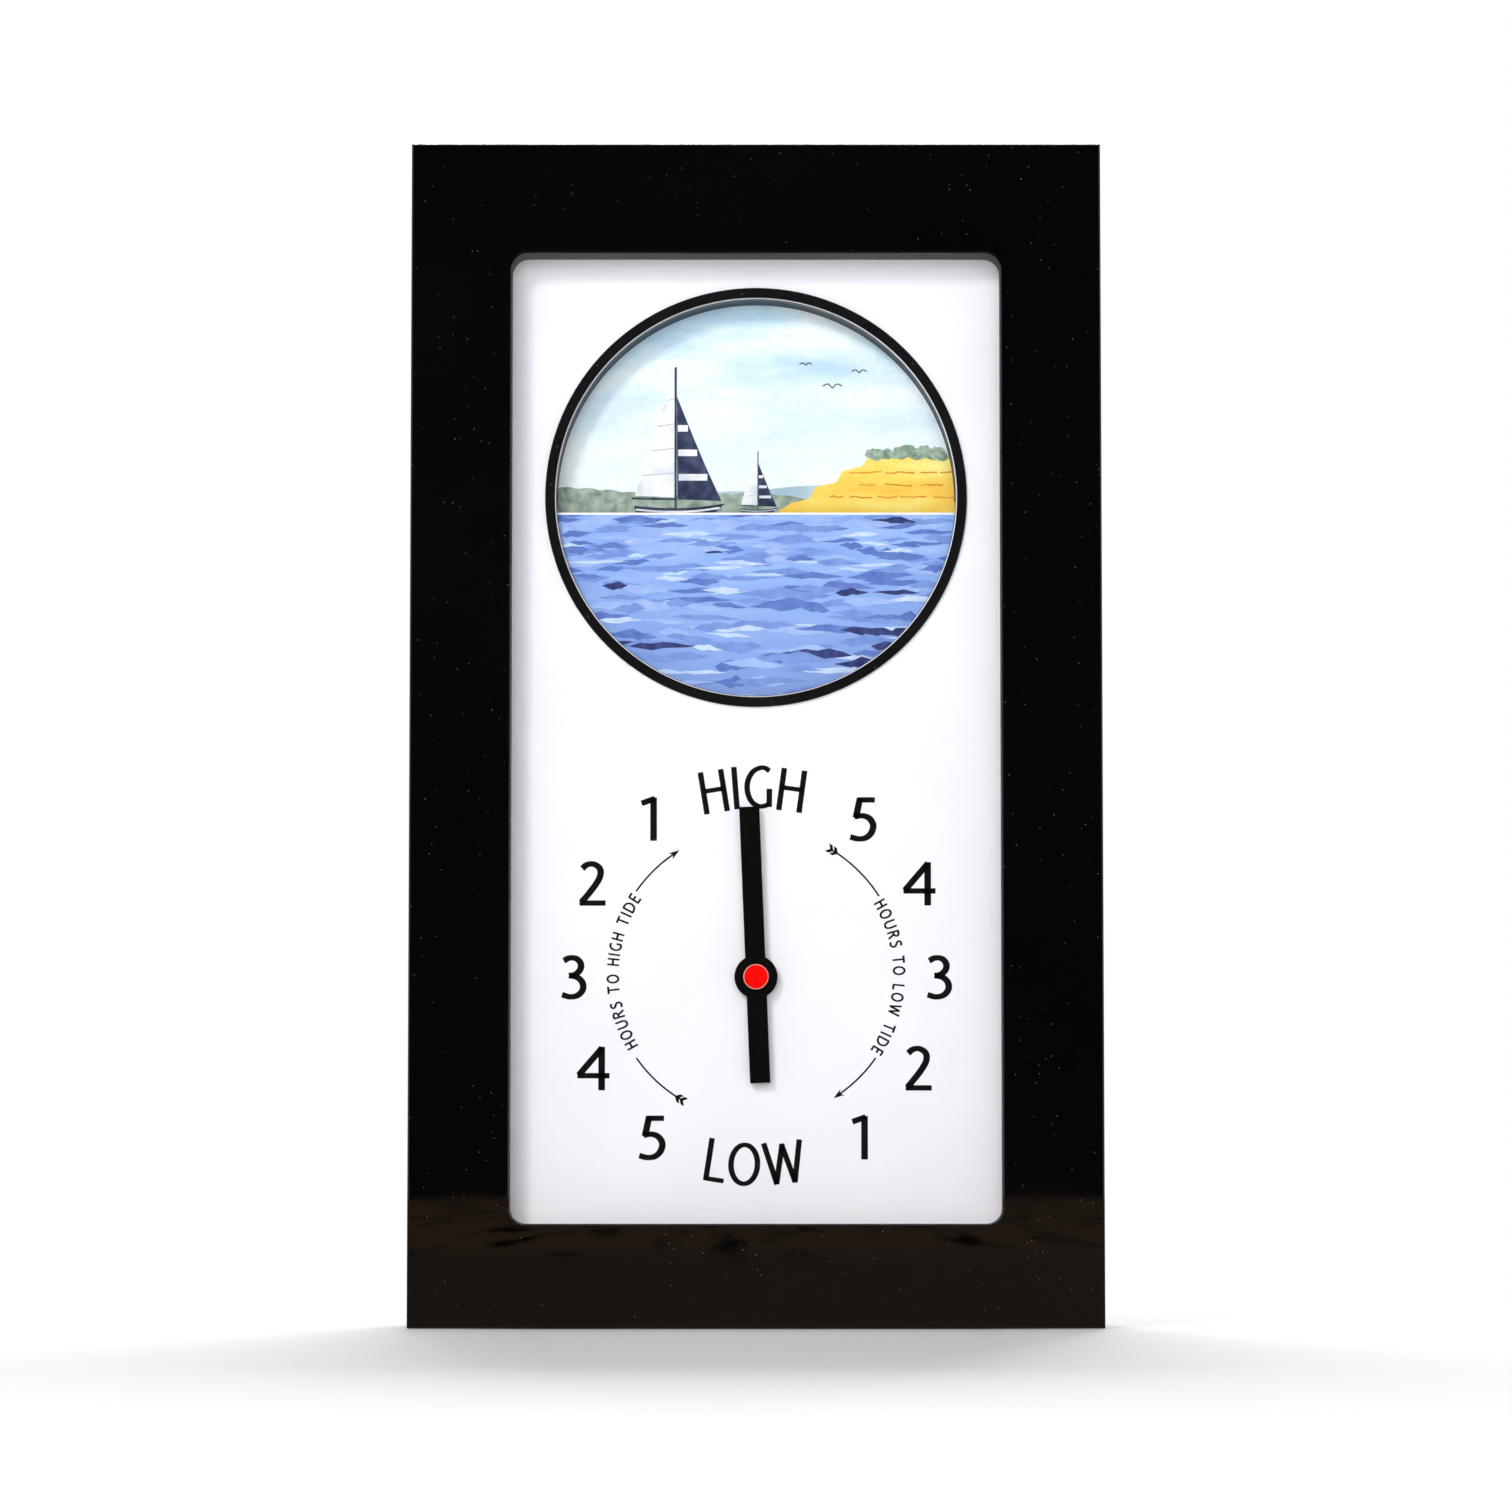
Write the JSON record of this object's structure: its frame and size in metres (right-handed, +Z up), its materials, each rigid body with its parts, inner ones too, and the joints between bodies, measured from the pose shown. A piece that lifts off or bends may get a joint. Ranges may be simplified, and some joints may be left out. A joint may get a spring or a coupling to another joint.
{
  "type": "tide clock",
  "caption": "Tide clock in a shallow glossy black box: a hand turns on a white dial while hidden gears raise and lower a water panel behind a round porthole.",
  "frame": {"origin": "middle of the base that the box stands on", "axes": "+Z up, +X to the right seen from the front, +Y towards the back cover"},
  "size_m": [0.1778, 0.05, 0.3048],
  "materials": {
    "gloss_black": "polished",
    "back_black": "fine matte",
    "spacer_black": "satin",
    "clear_pane": "clear polished",
    "dial_white": "smooth satin",
    "ring_black": "satin gloss",
    "lining_slate": "matte",
    "picture_board": "printed matte",
    "water_blue": "printed satin",
    "plate_white": "matte",
    "gear_nylon": "satin",
    "steel": "turned",
    "brass": "turned",
    "seal_rubber": "matte",
    "hand_black": "satin gloss",
    "cap_red": "gloss",
    "movement_black": "fine texture",
    "knob_grey": "satin",
    "cell_sleeve": "satin sleeve",
    "contact_metal": "plated"
  },
  "bodies": {
    "case": {"front_frame": "gloss_black", "wall_bottom": "gloss_black", "wall_top": "gloss_black", "wall_left": "gloss_black", "wall_right": "gloss_black", "back_cover": "back_black", "dial_spacer": "spacer_black", "corner_blocks": "spacer_black", "guide_rail_left": "spacer_black", "guide_rail_right": "spacer_black", "window_pane": "clear_pane", "dial_plate": "dial_white", "porthole_ring": "ring_black", "porthole_lining": "lining_slate", "backdrop_board": "picture_board", "mechanism_plate": "plate_white", "ring_gear": "gear_nylon", "back_screws": "steel", "crank_axle": "steel", "ring_standoffs": "steel", "threaded_bush": "brass", "hex_nut": "brass", "nut_washer": "brass", "gasket": "seal_rubber", "movement_case": "movement_black", "movement_lid": "movement_black", "battery": "cell_sleeve", "contact_flat": "contact_metal", "contact_dimpled": "contact_metal"},
    "tide_hand": {"hand": "hand_black", "hand_collet": "brass", "hand_cap": "cap_red", "tide_shaft": "steel", "drive_gear": "gear_nylon", "set_knob": "knob_grey"},
    "crank": {"crank_gear": "gear_nylon", "planet_axle": "steel"},
    "planet": {"planet_gear": "gear_nylon", "lift_arm": "gear_nylon", "lift_pin": "steel"},
    "water": {"water_panel": "water_blue"}
  },
  "joints": [
    {"name": "hand_turn", "type": "hinge", "parent": "case", "child": "tide_hand", "pos_m": [0, 0, 0.0898], "axis": [0, 1, 0], "continuous": true},
    {"name": "crank_turn", "type": "hinge", "parent": "case", "child": "crank", "pos_m": [0, 0, 0.1298], "axis": [0, 1, 0], "continuous": true},
    {"name": "planet_turn", "type": "hinge", "parent": "crank", "child": "planet", "pos_m": [0.00032, 0, 0.13779], "axis": [0, 1, 0], "continuous": true},
    {"name": "water_lift", "type": "hinge", "parent": "planet", "child": "water", "pos_m": [0, 0, 0.14579], "axis": [0, 1, 0], "continuous": true}
  ],
  "couplings": [
    {"joint": "crank_turn", "follows": "hand_turn", "ratio": -1},
    {"joint": "planet_turn", "follows": "hand_turn", "ratio": 2},
    {"joint": "water_lift", "follows": "hand_turn", "ratio": -1}
  ]
}
